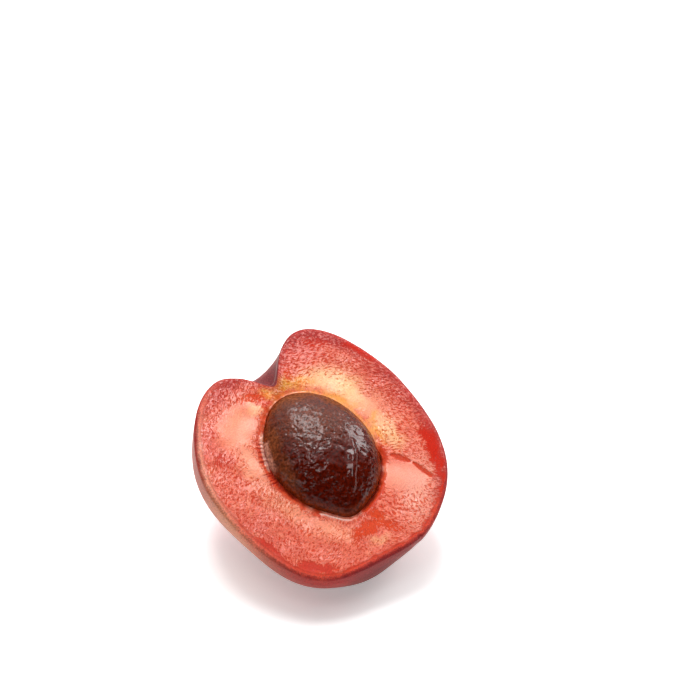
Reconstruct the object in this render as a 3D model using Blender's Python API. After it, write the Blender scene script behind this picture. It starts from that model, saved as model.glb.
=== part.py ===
"""Half a plum with its stone, lying on its rounded back with the cut face up and tipped forward.

Everything is shaped in the fruit's own frame first: x to the right across the cut face, y towards the
stem end, z out of the cut face, with the zero point in the middle of the fruit. A placing matrix then
lays the half down. Units are metres, +Z is up, and the origin is the middle of the flat resting spot.
Headings go round the cut face, anticlockwise from the stem; a dive is the angle down behind the face.
"""

import math

import bmesh
import bpy
import numpy as np
from mathutils import Matrix

MM = 0.001

# Outline of the cut face
STEM_REACH = 24.7 * MM
BLOSSOM_REACH = 23.8 * MM
LEFT_REACH = 23.2 * MM
RIGHT_REACH = 22.2 * MM
FULLNESS = 2.36

# The rounded back, widest a little behind the cut
BACK_DEPTH = 20.6 * MM
WIDEST_DEPTH = 0.6 * MM
BACK_FULLNESS = 2.32

# Swellings and flats of the skin: heading, dive, height, spread in degrees
SWELLINGS = {
    "right_shoulder": (-26, 0, 2.2 * MM, 20),
    "left_flat": (53, 0, -1.1 * MM, 20),
    "left_cheek": (57, 20, 0.5 * MM, 18),
    "lower_left": (146, 0, 1.7 * MM, 18),
    "lower_left_hollow": (110, 24, -1.2 * MM, 20),
    "blossom_end": (-170, 0, 0.8 * MM, 14),
    "blossom_swell": (170, 24, 1.1 * MM, 15),
    "resting_cheek": (-22, 74, 1.5 * MM, 28),
}

# Stem hollow: a funnel sunk into the stem end
HOLLOW_DEPTH = 8.7 * MM
HOLLOW_HEADING = -1.6
HOLLOW_SPREAD_LEFT = 13.0
HOLLOW_SPREAD_RIGHT = 14.0
HOLLOW_SPREAD_BACK = 14.0

# Stone: almond form with a pointed end, a keeled edge and one low ridge on its upper cheek
STONE_STEM_REACH = 13.2 * MM
STONE_TIP_REACH = 12.7 * MM
STONE_LEFT_REACH = 9.4 * MM
STONE_RIGHT_REACH = 9.9 * MM
STONE_HALF_THICKNESS = 6.2 * MM
STONE_FULLNESS = 1.98
STONE_SINK = 0.5 * MM
STONE_SWELLINGS = {
    "point": (167, 0, 1.4 * MM, 14),
    "left_shoulder": (30, 0, 0.4 * MM, 34),
    "left_flat": (125, 0, -0.3 * MM, 18),
}
KEEL_HEIGHT = 0.3 * MM
KEEL_SPREAD = 9
RIDGE_HEIGHT = 0.45 * MM
RIDGE_HALF_WIDTH = 0.8 * MM
RIDGE_START = np.array([-0.8, -11.5]) * MM
RIDGE_END = np.array([6.0, -0.3]) * MM
STONE_ROUGHNESS = 0.14 * MM

# Cut face: the pocket round the stone, its worn lip, and the rounded edge next to the skin
POCKET_GAP = 0.32 * MM
LIP_WIDTH = 0.8 * MM
LIP_DROP = 0.4 * MM
EDGE_WIDTH = 1.3 * MM
EDGE_DROP = 0.7 * MM
CUT_UNEVENNESS = 0.12 * MM

# How the half lies: turned in its own plane, tipped forward, swung to the right, and pressed flat below
TURN = math.radians(21.8)
TIP = math.radians(26.1)
SWING = math.radians(14.9)
PRESSED_DEPTH = 1.8 * MM

# Mesh fineness
RAYS = 108
CROWDING = 0.3
POCKET_RINGS = 6
FACE_RINGS = 7
EDGE_RINGS = 3
SKIN_RINGS = 22
STONE_RAYS = 56
STONE_RINGS = 20

SKIN_COLOUR = (0.42, 0.035, 0.03, 1)
FLESH_COLOUR = (0.72, 0.15, 0.08, 1)
STONE_COLOUR = (0.09, 0.022, 0.008, 1)


def clear_scene():
    for obj in list(bpy.data.objects):
        bpy.data.objects.remove(obj, do_unlink=True)


def material(name, colour, roughness):
    made = bpy.data.materials.new(name)
    made.use_nodes = True
    made.diffuse_color = colour
    shader = made.node_tree.nodes["Principled BSDF"]
    shader.inputs["Base Color"].default_value = colour
    shader.inputs["Roughness"].default_value = roughness
    return made


def ray_headings(count, crowding=0.0):
    """Headings round the cut face, drawn together towards the stem end."""
    even = np.arange(count) * 2 * math.pi / count
    return even - crowding * np.sin(even)


def directions(headings, dive):
    """Unit vectors at these headings, all at one dive."""
    level = math.cos(dive)
    return np.column_stack(
        [-np.sin(headings) * level, np.cos(headings) * level, np.full(len(headings), -math.sin(dive))]
    )


def bump(ways, heading, dive, spread):
    """A round swelling, 1 at its middle, on a surface seen along these unit vectors."""
    centre = directions(np.array([math.radians(heading)]), math.radians(dive))[0]
    off = np.degrees(np.arccos(np.clip(ways @ centre, -1, 1)))
    return np.exp(-((off / spread) ** 2))


def rounded_reach(ways, right, left, up, down, deep, fullness):
    """Distance to a fuller ellipsoid that reaches differently far each way."""
    x, y, z = ways.T
    across = np.abs(x) / np.where(x > 0, right, left)
    along = np.abs(y) / np.where(y > 0, up, down)
    behind = np.abs(z) / deep
    return (across**fullness + along**fullness + behind**fullness) ** (-1 / fullness)


def waves(points, length):
    """A lumpy field between -1 and 1 from crossed waves of about this length."""
    x, y, z = (points * 2 * math.pi / length).T
    field = np.sin(0.9 * x + 0.35 * y + 1.1) * np.sin(0.8 * y - 0.45 * z + 0.4)
    return (field + np.sin(1.3 * y + 0.6 * x + 2.2) * np.sin(1.1 * x - 0.8 * z + 0.9)) / 2


def stem_hollow(ways):
    """Share of the hollow's full depth on the skin along these unit vectors."""
    aside = np.degrees(np.arctan2(-ways[:, 0], ways[:, 1])) - HOLLOW_HEADING
    deep = np.degrees(np.arcsin(np.clip(ways[:, 2], -1, 1)))
    spread = np.where(aside > 0, HOLLOW_SPREAD_LEFT, HOLLOW_SPREAD_RIGHT)
    return np.exp(-((aside / spread) ** 2) - (deep / HOLLOW_SPREAD_BACK) ** 2)


def skin_points(headings, share):
    """One ring of the skin, share of the way from the cut edge round to the middle of the back."""
    belly = BACK_DEPTH - WIDEST_DEPTH
    start = -math.asin((WIDEST_DEPTH / belly) ** (BACK_FULLNESS / 2))
    climb = start + (math.pi / 2 - start) * share
    depth = WIDEST_DEPTH + belly * math.copysign(abs(math.sin(climb)) ** (2 / BACK_FULLNESS), climb)
    width = (max(0.0, math.cos(climb)) / math.cos(start)) ** (2 / BACK_FULLNESS)
    level = directions(headings, 0.0)
    reach = rounded_reach(level, RIGHT_REACH, LEFT_REACH, STEM_REACH, BLOSSOM_REACH, 1, FULLNESS)
    base = level * (reach * width)[:, None] - np.array([0, 0, depth])
    length = np.linalg.norm(base, axis=1)
    ways = base / length[:, None]
    for heading, dive, height, spread in SWELLINGS.values():
        length = length + height * bump(ways, heading, dive, spread)
    return ways * (length - HOLLOW_DEPTH * stem_hollow(ways))[:, None]


def stone_reach(ways):
    """Distance from the middle of the stone to its surface, without its roughness and its ridge."""
    reach = rounded_reach(
        ways,
        STONE_RIGHT_REACH,
        STONE_LEFT_REACH,
        STONE_STEM_REACH,
        STONE_TIP_REACH,
        STONE_HALF_THICKNESS,
        STONE_FULLNESS,
    )
    for heading, dive, height, spread in STONE_SWELLINGS.values():
        reach = reach + height * bump(ways, heading, dive, spread)
    dive = np.degrees(np.arcsin(np.clip(ways[:, 2], -1, 1)))
    return reach + KEEL_HEIGHT * np.exp(-((dive / KEEL_SPREAD) ** 2))


def ridge_rise(points):
    """Height of the low ridge that runs up the stone's cheek from its pointed end."""
    run = RIDGE_END - RIDGE_START
    length = math.hypot(*run)
    along = (points[:, :2] - RIDGE_START) @ (run / length)
    aside = (points[:, :2] - RIDGE_START) @ np.array([run[1], -run[0]]) / length
    ends = np.clip(along / (2 * MM), 0, 1) * np.clip((length - along) / (5 * MM), 0, 1)
    return RIDGE_HEIGHT * ends * np.exp(-((aside / RIDGE_HALF_WIDTH) ** 2))


def stone_points(headings, dive):
    """One ring of the stone's surface, in the fruit's frame."""
    ways = directions(headings, dive)
    points = ways * stone_reach(ways)[:, None]
    rise = STONE_ROUGHNESS * waves(points, 3.5 * MM)
    if dive < 0:
        rise = rise + ridge_rise(points) * min(1, -dive / math.radians(15))
    return points + ways * rise[:, None] - np.array([0, 0, STONE_SINK])


def pocket_points(headings, dive):
    """One ring of the pocket, which follows the stone at an even gap."""
    ways = directions(headings, dive)
    reach = stone_reach(ways) + STONE_ROUGHNESS + POCKET_GAP
    return ways * reach[:, None] - np.array([0, 0, STONE_SINK])


def face_points(lip, edge, share):
    """One ring of the cut face, share of the way from the pocket's lip to the rounded edge."""
    points = lip + (edge - lip) * share
    points[:, 2] = CUT_UNEVENNESS * waves(points, 9 * MM) * math.sin(math.pi * share)
    return points


def edge_points(edge, skin, share):
    """One ring of the rounded edge between the cut face and the skin."""
    turn = share * math.pi / 2
    return edge + (skin - edge) * np.array([math.sin(turn), math.sin(turn), 1 - math.cos(turn)])


def plum_rings():
    """Rings of the flesh from the bottom of the pocket, over the cut face, to the back of the skin."""
    headings = ray_headings(RAYS, CROWDING)
    dives = [math.pi / 2 * (1 - k / POCKET_RINGS) for k in range(1, POCKET_RINGS)]
    rings = [pocket_points(headings, dive) for dive in dives]
    wall = pocket_points(headings, math.radians(4))
    level = directions(headings, 0.0)
    lip = level * (stone_reach(level) + POCKET_GAP + LIP_WIDTH)[:, None]
    worn = lip + (wall - lip) * 0.45
    worn[:, 2] = -LIP_DROP
    drop_share = 0.035
    skin = skin_points(headings, drop_share)
    edge = level * (np.linalg.norm(skin_points(headings, 0), axis=1) - EDGE_WIDTH)[:, None]
    skin[:, 2] = -EDGE_DROP
    rings += [wall, worn]
    rings += [face_points(lip, edge, k / FACE_RINGS) for k in range(FACE_RINGS + 1)]
    rings += [edge_points(edge, skin, (k + 1) / EDGE_RINGS) for k in range(EDGE_RINGS)]
    shares = [drop_share + (1 - drop_share) * (k / SKIN_RINGS) ** 1.2 for k in range(1, SKIN_RINGS)]
    return rings + [skin_points(headings, share) for share in shares]


def closed_loft(name, start, rings, end):
    """A solid skinned over closed rings of points, with a point at each end."""
    mesh = bmesh.new()
    loops = [[mesh.verts.new(point) for point in ring] for ring in rings]
    first, last = mesh.verts.new(start), mesh.verts.new(end)
    count = len(rings[0])
    for i in range(count):
        j = (i + 1) % count
        mesh.faces.new((first, loops[0][j], loops[0][i]))
        mesh.faces.new((last, loops[-1][i], loops[-1][j]))
        for low, high in zip(loops, loops[1:]):
            mesh.faces.new((low[i], low[j], high[j], high[i]))
    bmesh.ops.recalc_face_normals(mesh, faces=mesh.faces)
    data = bpy.data.meshes.new(name)
    mesh.to_mesh(data)
    mesh.free()
    return data


def press_flat(data):
    """Cuts the bottom off level, where the soft fruit is pressed flat by its own weight."""
    mesh = bmesh.new()
    mesh.from_mesh(data)
    everything = mesh.verts[:] + mesh.edges[:] + mesh.faces[:]
    bmesh.ops.bisect_plane(
        mesh, geom=everything, dist=0.05 * MM, plane_co=(0, 0, 0), plane_no=(0, 0, -1), clear_outer=True
    )
    pressed = [vert for vert in mesh.verts if vert.co.z < 0.06 * MM]
    for vert in pressed:
        vert.co.z = 0
    bmesh.ops.remove_doubles(mesh, verts=pressed, dist=0.3 * MM)
    bmesh.ops.holes_fill(mesh, edges=mesh.edges[:], sides=0)
    bmesh.ops.recalc_face_normals(mesh, faces=mesh.faces)
    mesh.to_mesh(data)
    mesh.free()


def placing_matrix(back):
    """Lays these points of the back down, and puts the middle of the pressed flat at the origin."""
    turned = Matrix.Rotation(SWING, 4, "Z") @ Matrix.Rotation(TIP, 4, "X") @ Matrix.Rotation(TURN, 4, "Z")
    laid = back @ np.array(turned.to_3x3()).T
    floor = laid[:, 2].min() + PRESSED_DEPTH
    pressed = laid[laid[:, 2] < floor]
    middle = (pressed.min(axis=0) + pressed.max(axis=0)) / 2
    return Matrix.Translation((-middle[0], -middle[1], -floor)) @ turned


def finished(data):
    """An object for the shape, shaded smooth with its true edges kept sharp."""
    obj = bpy.data.objects.new(data.name, data)
    bpy.context.scene.collection.objects.link(obj)
    data.shade_smooth()
    data.set_sharp_from_angle(angle=math.radians(50))
    return obj


def build_half(placing):
    rings = plum_rings()
    pocket_end = pocket_points(np.zeros(1), math.pi / 2)[0]
    back_end = skin_points(np.zeros(1), 1)[0]
    data = closed_loft("plum_half", pocket_end, rings, back_end)
    data.materials.append(material("cut_flesh", FLESH_COLOUR, 0.3))
    data.materials.append(material("plum_skin", SKIN_COLOUR, 0.6))
    rim = np.linalg.norm(rings[-SKIN_RINGS], axis=1).min()
    for face in data.polygons:
        on_skin = face.center.z < -EDGE_DROP and face.center.length > rim * 0.9
        face.material_index = 1 if on_skin else 0
    data.transform(placing)
    press_flat(data)
    return finished(data)


def build_stone(placing):
    headings = ray_headings(STONE_RAYS)
    dives = [math.pi * (k / STONE_RINGS - 0.5) for k in range(1, STONE_RINGS)]
    rings = [stone_points(headings, dive) for dive in dives]
    top = stone_points(np.zeros(1), -math.pi / 2)[0]
    bottom = stone_points(np.zeros(1), math.pi / 2)[0]
    data = closed_loft("stone", top, rings, bottom)
    data.materials.append(material("wet_stone", STONE_COLOUR, 0.25))
    data.transform(placing)
    return finished(data)


def main():
    clear_scene()
    back = np.vstack(plum_rings()[-SKIN_RINGS:])
    placing = placing_matrix(back)
    build_half(placing)
    build_stone(placing)


main()
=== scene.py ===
"""Looks of the halved plum: wet cut flesh, downy red skin and a wet dark stone, on a plain white floor.

Everything is shaped in the fruit's own frame first: x to the right across the cut face, y towards the
stem end, z out of the cut face, with the zero point in the middle of the fruit. Headings go round the
face, anticlockwise from the stem; a dive is the angle down behind the face. Units are metres.
"""

import math

import bmesh
import bpy
import numpy as np
from mathutils import Matrix, Vector


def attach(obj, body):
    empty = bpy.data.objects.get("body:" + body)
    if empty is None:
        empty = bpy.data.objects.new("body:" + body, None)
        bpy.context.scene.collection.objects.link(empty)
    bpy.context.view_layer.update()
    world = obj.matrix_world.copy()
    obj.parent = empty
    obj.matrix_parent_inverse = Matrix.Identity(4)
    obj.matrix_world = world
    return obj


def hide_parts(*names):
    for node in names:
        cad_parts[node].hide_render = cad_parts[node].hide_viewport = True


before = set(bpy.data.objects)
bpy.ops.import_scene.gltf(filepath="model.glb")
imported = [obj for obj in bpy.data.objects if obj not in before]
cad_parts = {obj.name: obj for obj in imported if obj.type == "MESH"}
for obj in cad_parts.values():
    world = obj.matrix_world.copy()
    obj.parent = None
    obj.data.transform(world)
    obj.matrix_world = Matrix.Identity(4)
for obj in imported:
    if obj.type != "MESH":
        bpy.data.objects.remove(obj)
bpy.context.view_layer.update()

MM = 0.001

# The fruit's main form, as in the solids
STEM_REACH = 24.7 * MM
BLOSSOM_REACH = 23.8 * MM
LEFT_REACH = 23.2 * MM
RIGHT_REACH = 22.2 * MM
FULLNESS = 2.36
BACK_DEPTH = 20.6 * MM
WIDEST_DEPTH = 0.6 * MM
BACK_FULLNESS = 2.32

# Swellings and flats of the skin: heading, dive, height, spread in degrees
SWELLINGS = {
    "right_shoulder": (-26, 0, 2.2 * MM, 20),
    "left_flat": (53, 0, -1.1 * MM, 20),
    "left_cheek": (57, 20, 0.5 * MM, 18),
    "lower_left": (146, 0, 1.7 * MM, 18),
    "lower_left_hollow": (110, 24, -1.2 * MM, 20),
    "blossom_end": (-170, 0, 0.8 * MM, 14),
    "blossom_swell": (170, 24, 1.1 * MM, 15),
    "resting_cheek": (-22, 74, 1.5 * MM, 28),
}

# Stem hollow
HOLLOW_DEPTH = 8.7 * MM
HOLLOW_HEADING = -1.6
HOLLOW_SPREAD_LEFT = 13.0
HOLLOW_SPREAD_RIGHT = 14.0
HOLLOW_SPREAD_BACK = 14.0

# Stone
STONE_STEM_REACH = 13.2 * MM
STONE_TIP_REACH = 12.7 * MM
STONE_LEFT_REACH = 9.4 * MM
STONE_RIGHT_REACH = 9.9 * MM
STONE_HALF_THICKNESS = 6.2 * MM
STONE_FULLNESS = 1.98
STONE_SINK = 0.5 * MM
STONE_SWELLINGS = {
    "point": (167, 0, 1.4 * MM, 14),
    "upper_left_flat": (25, 0, -0.25 * MM, 18),
    "left_cheek": (95, 0, 0.75 * MM, 42),
    "lower_left": (138, 0, 0.5 * MM, 16),
    "right_knob": (-127, 2, 0.35 * MM, 5),
    "right_dent": (-114, 2, -0.25 * MM, 5),
}
KEEL_HEIGHT = 0.3 * MM
KEEL_SPREAD = 9
RIDGE_HEIGHT = 0.48 * MM
RIDGE_HALF_WIDTH = 0.48 * MM
RIDGE_START = np.array([-1.3, -11.2]) * MM
RIDGE_END = np.array([5.6, -1.2]) * MM
RIDGE_WIDENING = 0.8
TROUGH_SHARE = 0.45
TROUGH_PLACE = 2.5
STONE_LUMPS = 0.084 * MM
STONE_WRINKLES = 0.06 * MM
STONE_GRAIN = 0.04 * MM
PIT_DEPTH = 0.09 * MM
WAVE_HEIGHT = 0.1 * MM
FACET_DEPTH = 0.16 * MM

# Small step in the rim of the cut near the blossom end: headings in degrees clockwise from the stem
LEDGE_START = 140
LEDGE_END = 165
LEDGE_STEP = 2
LEDGE_HEIGHT = 0.35 * MM
LEDGE_DEPTH = 3.0 * MM

# Rounded edge of the cut next to the skin, which ends at this share of the skin's way round the back
EDGE_WIDTH = 1.3 * MM
EDGE_DROP = 0.7 * MM
EDGE_END_SHARE = 0.035
RIM_LINE_WIDTH = 0.18 * MM
HOLLOW_EDGE_LOSS = 0.75

# Relief of the cut face
CUT_UNEVENNESS = 0.072 * MM
CUT_GRAIN = 0.02 * MM
SQUIGGLE_DEPTH = 0.035 * MM
SPLIT_DEPTH = 0.13 * MM
FIBRE_DEPTH = 0.1 * MM

# Room between stone and pocket, and how far below the face the pocket's own surface starts, in radians
POCKET_GAP = 0.12 * MM
POCKET_TOP_DIVE = 0.05

# How the half lies
FACE_CENTRE = Vector((-1.04, 3.95, 20.60)) * MM
TURN = math.radians(21.8)
TIP = math.radians(26.1)
SWING = math.radians(14.9)
PRESSED_EASE = 0.15 * MM

# Camera: lens and sensor in mm, pitch down, distance from what it aims at, and how far to the right of the
# face's middle and above it that is
CAMERA_LENS = 139
CAMERA_SENSOR = 36
CAMERA_PITCH = math.radians(35)
CAMERA_DISTANCE = 0.5
CAMERA_RIGHT = 0.004316
CAMERA_UP = 0.02008

# Soft lights: place, width and length, power
LIGHT_TARGET = Vector((0, 0, 0.02))
LIGHTS = {
    "overhead": ((-0.07, 0.2, 0.67), (0.32, 0.42), 3.7),
    "front_strip": ((-0.06, -0.29, 0.62), (0.09, 0.22), 0.3),
    "left_strip": ((-0.5, -0.17, 0.46), (0.05, 0.25), 0.13),
    "right_back": ((0.42, 0.31, 0.36), (0.24, 0.24), 1.1),
}

# The room's own light: where it mostly comes from, and its strength away from there and towards it
ROOM_LIGHT_WAY = (0, 0.6, 0.8)
ROOM_LIGHT_RANGE = {"From Min": 0.38, "From Max": 1.0, "To Min": 0.02, "To Max": 1.55}

# Floor: half its width, where it fades from dark to white, how light it is at both ends, and its glow
FLOOR_HALF = 6.0
FLOOR_FADE = (-1.6, -0.7)
FLOOR_WHITE = (0.03, 0.97)
FLOOR_GLOW = 0.36

# Bend of light in the film of juice
JUICE_IOR = 1.5

# Mesh fineness
RAYS = 704
CROWDING = 0.3
FACE_RINGS = 64
EDGE_RINGS = 9
SKIN_RINGS = 52
POCKET_RINGS = 8
STONE_SPLITS = 7

# Directions of the flesh fibres on the two sides of the cut face, in degrees, and how far they stretch
RIGHT_FIBRES = -36
LEFT_FIBRES = 44
FIBRE_STRETCH = 1.7

# A ring round the middle of the fruit on which unevenness along the stone is laid out
STONE_SIDE_RADIUS = 11 * MM

# Share of a patch that is solid before its soft edge starts
SOFT_PATCH = 0.2
FIRM_PATCH = 0.45

# Profile of the wet groove between stone and flesh: distance from the stone, height
GROOVE_PROFILE = (
    (0.04 * MM, -0.10 * MM),
    (0.10 * MM, -0.24 * MM),
    (0.20 * MM, -0.36 * MM),
    (0.34 * MM, -0.42 * MM),
    (0.50 * MM, -0.36 * MM),
    (0.68 * MM, -0.22 * MM),
    (0.90 * MM, -0.09 * MM),
    (1.15 * MM, -0.02 * MM),
)
LIP_REACH = 1.4 * MM


def linear(red, green, blue):
    """A colour given as 0 to 255 on a screen, as light."""
    share = np.array([red, green, blue]) / 255
    return np.where(share <= 0.04045, share / 12.92, ((share + 0.055) / 1.055) ** 2.4)


# Flesh colours
SALMON = linear(229, 107, 82)
# Pale salmon: partly the flesh's own tone, partly painted glare of the wet juice
PALE_SALMON_AND_GLARE = linear(249, 154, 118)
CREAM = linear(253, 198, 142)
AMBER = linear(246, 160, 68)
OCHRE = linear(214, 144, 14)
# Pale pink of the juice pools, partly painted glare
POOL_PINK_AND_GLARE = linear(248, 152, 124)
# Pale colours of the threads of juice along the stone: painted sheen and painted glint
JUICE_ROSE_PAINTED_SHEEN = linear(206, 150, 132)
JUICE_WHITE_PAINTED_GLINT = linear(252, 226, 216)
PINK = linear(228, 104, 94)
BLUSH = linear(206, 74, 58)
ROSE = linear(196, 76, 70)
ORANGE_RED = linear(214, 66, 22)
DEEP_RED = linear(196, 30, 2)
RIM_RED = linear(196, 56, 42)
MAUVE_RED = linear(164, 48, 48)
BAND_RED = linear(212, 72, 52)
BAND_PEACH = linear(238, 160, 132)
ORANGE = linear(230, 108, 46)
SPLIT_RED = linear(202, 66, 40)
PALE_PINK = linear(244, 162, 140)
# Dark red of the pocket, also laid as painted shade in the groove round the stone
POCKET_SHADE_RED = linear(120, 26, 8)
SHADE_RED = linear(150, 26, 14)
# Pale pink painted glints, laid on the raised flecks of the wet flesh
FLESH_PAINTED_GLINT = (0.93, 0.5, 0.38, 1)

# Share of red, green and blue that a spot keeps where the juice has run off it, pink or golden
BARE_SHARE = np.array([0.78, 0.38, 0.28])
GOLDEN_BARE_SHARE = np.array([0.9, 0.6, 0.5])

# Patches of the juicy cut face in mm and degrees: colour, x, y, half length, half width, turn, strength
# The pale salmon and pool pink patches are partly painted glare of the wet juice
JUICY_PATCHES = (
    (CREAM, 12.0, 8.5, 5.5, 3.0, -75, 0.95),
    (CREAM, 9.0, 13.0, 3.6, 2.4, -40, 0.8),
    (CREAM, 13.2, -2.5, 4.5, 2.0, 90, 0.85),
    (PALE_SALMON_AND_GLARE, 15.0, 2.5, 6.0, 2.4, 90, 0.6),
    (PALE_SALMON_AND_GLARE, 11.6, 14.2, 3.2, 1.6, -40, 0.5),
    (POOL_PINK_AND_GLARE, 9.5, -11.8, 4.6, 3.0, -40, 0.9),
    (PALE_PINK, 11.0, -16.0, 7.0, 3.6, 50, 0.85),
    (BLUSH, -9.5, 20.0, 5.4, 2.4, 10, 0.75),
    (AMBER, 9.4, 7.5, 3.6, 0.9, -62, 0.9),
    (AMBER, 11.6, -2.2, 2.6, 0.8, 80, 0.8),
    (AMBER, 12.2, 1.0, 1.8, 0.7, 10, 0.6),
    (AMBER, 5.0, 14.4, 2.6, 1.2, -30, 0.85),
    (OCHRE, 1.2, 16.0, 3.4, 1.9, 0, 1.0),
    (AMBER, -1.6, 15.6, 1.4, 0.8, 20, 0.7),
    (CREAM, -5.6, 14.2, 1.4, 0.9, -50, 0.8),
    (PALE_SALMON_AND_GLARE, -10.0, 13.0, 5.0, 3.4, 30, 0.85),
    (PALE_SALMON_AND_GLARE, -12.6, 5.0, 6.0, 2.2, 80, 0.9),
    (PALE_SALMON_AND_GLARE, -12.0, -6.0, 6.0, 2.6, -70, 0.8),
    (PALE_SALMON_AND_GLARE, -7.5, -14.6, 4.0, 2.0, -40, 0.8),
    (BLUSH, -16.5, 8.4, 2.4, 1.6, 60, 0.5),
    (PINK, -17.5, 13.5, 4.0, 2.2, 60, 0.5),
    (PINK, 8.6, 20.4, 4.0, 2.2, -10, 0.8),
    (ROSE, 10.0, 23.0, 5.6, 1.9, -10, 0.9),
    (ROSE, 4.0, 22.6, 3.6, 1.5, 20, 0.8),
    (ROSE, 15.4, 19.0, 4.0, 1.6, -42, 0.8),
    (ROSE, -8.0, 22.0, 4.2, 1.4, -2, 0.7),
    (CREAM, -1.0, -20.6, 1.8, 0.7, -15, 0.4),
    (BLUSH, 6.6, 21.6, 5.0, 2.0, 0, 0.6),
    (PINK, 4.6, 19.6, 3.4, 1.8, 40, 0.6),
    (BLUSH, 17.6, 6.0, 7.0, 3.0, -80, 0.55),
    (BLUSH, 13.0, 17.0, 5.0, 2.4, -45, 0.35),
    (BLUSH, -18.5, -9.0, 6.0, 1.8, -72, 0.45),
)

# Bare matt patches, where the juice has run off, given in the same way
BARE_PATCHES = (
    (DEEP_RED, 18.9, -8.8, 4.4, 1.5, 76, 1.0),
    (DEEP_RED, 17.4, -13.2, 3.2, 1.1, 66, 0.9),
    (DEEP_RED, 15.4, -17.4, 2.2, 0.9, 55, 0.6),
    (DEEP_RED, 19.0, 13.4, 3.0, 0.8, -62, 0.55),
    (DEEP_RED, 12.6, 19.8, 2.6, 1.3, -25, 0.35),
    (DEEP_RED, 17.8, 15.8, 2.4, 0.9, -50, 0.6),
    (ORANGE_RED, 3.8, 17.4, 1.8, 0.9, 55, 0.45),
    (ORANGE_RED, -5.2, 16.5, 3.2, 1.0, -12, 0.62),
    (ORANGE_RED, -2.4, -17.6, 3.4, 1.3, 16, 0.62),
    (ORANGE_RED, 2.0, -19.2, 3.2, 1.2, -50, 0.58),
    (ORANGE_RED, 1.2, -15.6, 2.0, 0.9, -70, 0.6),
    (RIM_RED, -14.6, -19.2, 4.0, 1.4, -40, 0.9),
    (RIM_RED, -20.6, -10.0, 6.0, 1.1, -72, 0.8),
    (RIM_RED, -17.0, 9.0, 1.6, 0.8, 50, 0.5),
)

# Smooth glossy pools of juice: x, y, half length, half width, turn, strength
JUICE_POOLS = (
    (-10.0, 13.2, 4.8, 3.2, 30, 1.0),
    (9.6, -11.6, 5.0, 3.2, -40, 1.0),
    (12.4, 4.6, 6.0, 2.8, -78, 0.6),
    (8.6, 12.0, 4.0, 2.2, -40, 0.45),
    (-9.4, -11.4, 4.0, 1.0, -60, 0.5),
    (-12.2, 5.0, 5.0, 1.0, 85, 0.6),
)

# Narrow splits in the flesh: x, y of each end in mm, half width in mm
SPLITS = (
    (10.9, -7.4, 13.0, -10.3, 0.62),
    (13.5, -11.1, 14.7, -15.0, 0.58),
)

# Threads of juice that stand along the stone: colour, middle heading, half range in degrees, distance
# from the stone, half width, height
# The threads' pale colours are painted glints and sheen of the wet juice, laid over their relief
JUICE_THREADS = (
    (JUICE_ROSE_PAINTED_SHEEN, 60, 24, 0.38 * MM, 0.26 * MM, 0.28 * MM),
    (JUICE_WHITE_PAINTED_GLINT, 155, 14, 0.70 * MM, 0.14 * MM, 0.14 * MM),
)

# How deep the groove round the stone is, by heading
GROOVE_HEADINGS = (-180, -152, -128, -108, -95, -20, -5, 8, 25, 60, 112, 135, 160, 170, 180)
GROOVE_SHARES = (1.0, 1.0, 0.9, 0.5, 0.15, 0.12, 0.4, 0.8, 0.5, 0.9, 1.0, 0.6, 0.3, 0.5, 1.0)

# Colours of the stone and its patches of dried film, given like the juice pools
STONE_DARK = linear(76, 12, 1)
STONE_FILM = linear(120, 64, 36)
STONE_RIM = linear(118, 42, 8)
# Pale painted sheen of wet juice along the stone's left rim
STONE_PAINTED_SHEEN = linear(206, 150, 128)
STONE_FILM_PATCHES = (
    (1.0, 12.4, 9.0, 3.0, -8, 0.9),
    (-8.0, 6.0, 5.0, 2.0, 62, 0.85),
    (6.8, 8.0, 6.0, 1.8, -62, 0.7),
    (-9.0, -1.0, 4.0, 1.4, 85, 0.6),
    (0.0, 5.0, 8.0, 5.0, -30, 0.35),
)
STONE_WAVY_PATCHES = (
    (-6.4, -6.0, 5.0, 2.6, -55, 1.0),
    (-1.5, -11.5, 3.0, 1.6, 20, 0.8),
    (5.5, -9.5, 4.0, 1.2, 60, 0.8),
)
STONE_FACETS = (
    (6.0, -2.6, 2.0, 1.5, 65, 1.0),
)
STONE_SMOOTH_PATCHES = (
    (5.9, -2.4, 2.6, 2.2, 60, 1.2),
    (0.0, -5.5, 5.0, 3.0, -30, 1.0),
    (4.6, -6.0, 4.0, 1.6, 60, 0.9),
)

# Skin colours
SKIN_RED = linear(142, 20, 18)
SKIN_CRIMSON = linear(104, 10, 18)
SKIN_SCARLET = linear(164, 30, 20)
# Tan of the down, partly painted sheen of the skin seen edge-on
SKIN_TAN_AND_SHEEN = linear(196, 134, 98)
# Mauve painted shade of the stem hollow and the shaded cheek, also laid on the cut's edge in the hollow
SKIN_SHADE_MAUVE = linear(98, 24, 30)
SKIN_SPECK = (0.46, 0.1, 0.08, 1)
SKIN_DOWN = (1.0, 0.72, 0.6, 1)
# The cheek below the cut on the left, laid with the tan of the down and painted sheen
TAN_SHEEN_CHEEK = {"heading": 96, "dive": 8, "spread": 24}
SHADED_CHEEK = {"heading": -172, "dive": 16, "spread": 18}


def noise(points, size, seed):
    """A smooth random field, about -1 to 1, with lumps of about this size."""
    table = np.random.default_rng(seed).normal(size=(4096, 3))
    table /= np.linalg.norm(table, axis=1)[:, None]
    grid = points / size
    cell = np.floor(grid).astype(np.int64)
    part = grid - cell
    ease = part**3 * (part * (part * 6 - 15) + 10)
    total = np.zeros(len(points))
    for corner in np.ndindex(2, 2, 2):
        at = cell + corner
        pick = (at[:, 0] * 73856093 ^ at[:, 1] * 19349663 ^ at[:, 2] * 83492791) % 4096
        weight = np.prod(np.where(corner, ease, 1 - ease), axis=1)
        total += weight * np.einsum("ij,ij->i", table[pick], part - corner)
    return total * 1.7


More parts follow.
